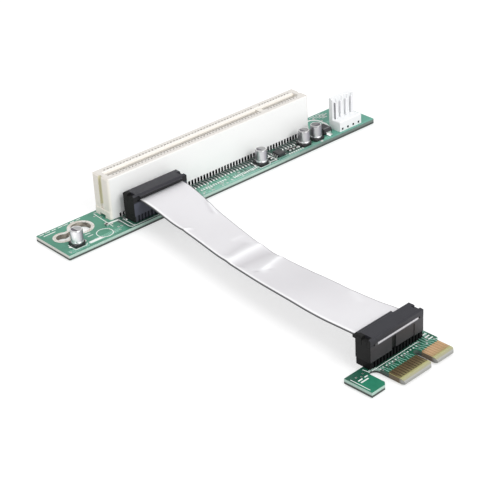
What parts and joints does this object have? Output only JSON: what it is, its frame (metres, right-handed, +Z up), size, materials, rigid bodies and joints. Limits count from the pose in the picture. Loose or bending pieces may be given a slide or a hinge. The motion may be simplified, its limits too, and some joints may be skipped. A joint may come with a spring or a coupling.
{
  "type": "pcie slot expander",
  "caption": "Riser with a long slot board and a small card edge board, joined by a flat ribbon cable with a black connector at each end.",
  "frame": {"origin": "on the underside of the long board, below the middle of the slot housing", "axes": "+X along the slot towards the power header, +Y away from the card edge board, +Z up out of the slot"},
  "size_m": [0.1299, 0.134, 0.0156],
  "materials": {
    "board_green": "solder mask over fibre board, pale bare edges",
    "tinned_copper": "dull tin",
    "ivory_housing": "satin moulded",
    "contact_strip": "bright tin",
    "black_plastic": "satin moulded",
    "ribbon_sheath": "soft silvery sheath with creases",
    "gold_finger": "gold plated",
    "white_header": "satin moulded",
    "can_aluminium": "bright rolled",
    "black_base": "moulded",
    "tinned_lead": "bright solder",
    "moulded_black": "moulded epoxy",
    "chip_ceramic": "fired ceramic"
  },
  "bodies": {
    "root": {"main_board": "board_green", "edge_board": "board_green", "hole_ring": "tinned_copper", "pci_socket": "ivory_housing", "pci_contacts_front": "contact_strip", "pci_contacts_rear": "contact_strip", "main_header_pins": "contact_strip", "edge_header_pins": "contact_strip", "power_pins": "contact_strip", "main_header": "black_plastic", "main_cable_socket": "black_plastic", "main_cable_cover": "black_plastic", "edge_header": "black_plastic", "edge_cable_socket": "black_plastic", "edge_cable_cover": "black_plastic", "ribbon_cable": "ribbon_sheath", "edge_fingers_top": "gold_finger", "edge_fingers_bottom": "gold_finger", "power_header": "white_header", "capacitor_can_1": "can_aluminium", "capacitor_can_2": "can_aluminium", "capacitor_can_3": "can_aluminium", "capacitor_can_4": "can_aluminium", "capacitor_base_1": "black_base", "capacitor_base_2": "black_base", "capacitor_base_3": "black_base", "capacitor_base_4": "black_base", "capacitor_leads_1": "tinned_lead", "capacitor_leads_2": "tinned_lead", "capacitor_leads_3": "tinned_lead", "capacitor_leads_4": "tinned_lead", "diode_tabs": "tinned_lead", "regulator_leads": "tinned_lead", "chip_ends": "tinned_lead", "diode_body": "moulded_black", "regulator_body": "moulded_black", "chip_bodies": "chip_ceramic"}
  },
  "joints": []
}
